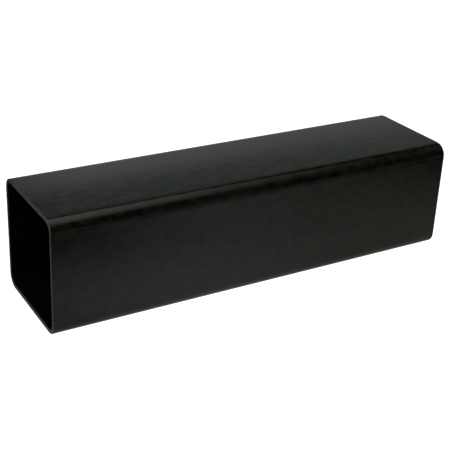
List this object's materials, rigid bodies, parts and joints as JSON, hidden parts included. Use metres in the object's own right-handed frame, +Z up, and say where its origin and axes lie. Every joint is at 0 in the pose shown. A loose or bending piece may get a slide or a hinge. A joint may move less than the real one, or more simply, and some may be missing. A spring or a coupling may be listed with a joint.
{
  "type": "square plastic pipe",
  "caption": "Short length of black square plastic pipe: a thin-walled extrusion with rounded corners, open right through and cut square at both ends.",
  "frame": {"origin": "on the surface the pipe lies on, under the middle of its length and of its width", "axes": "+X along the pipe's length, +Z up through its top flat, -Y out of its front flat; the end whose opening is seen in the usual view is at -X"},
  "size_m": [0.248, 0.065, 0.065],
  "materials": {
    "black_plastic": "satin extruded skin with faint lines along the length; duller where it is cut"
  },
  "bodies": {
    "root": {"square_pipe": "black_plastic"}
  },
  "joints": []
}
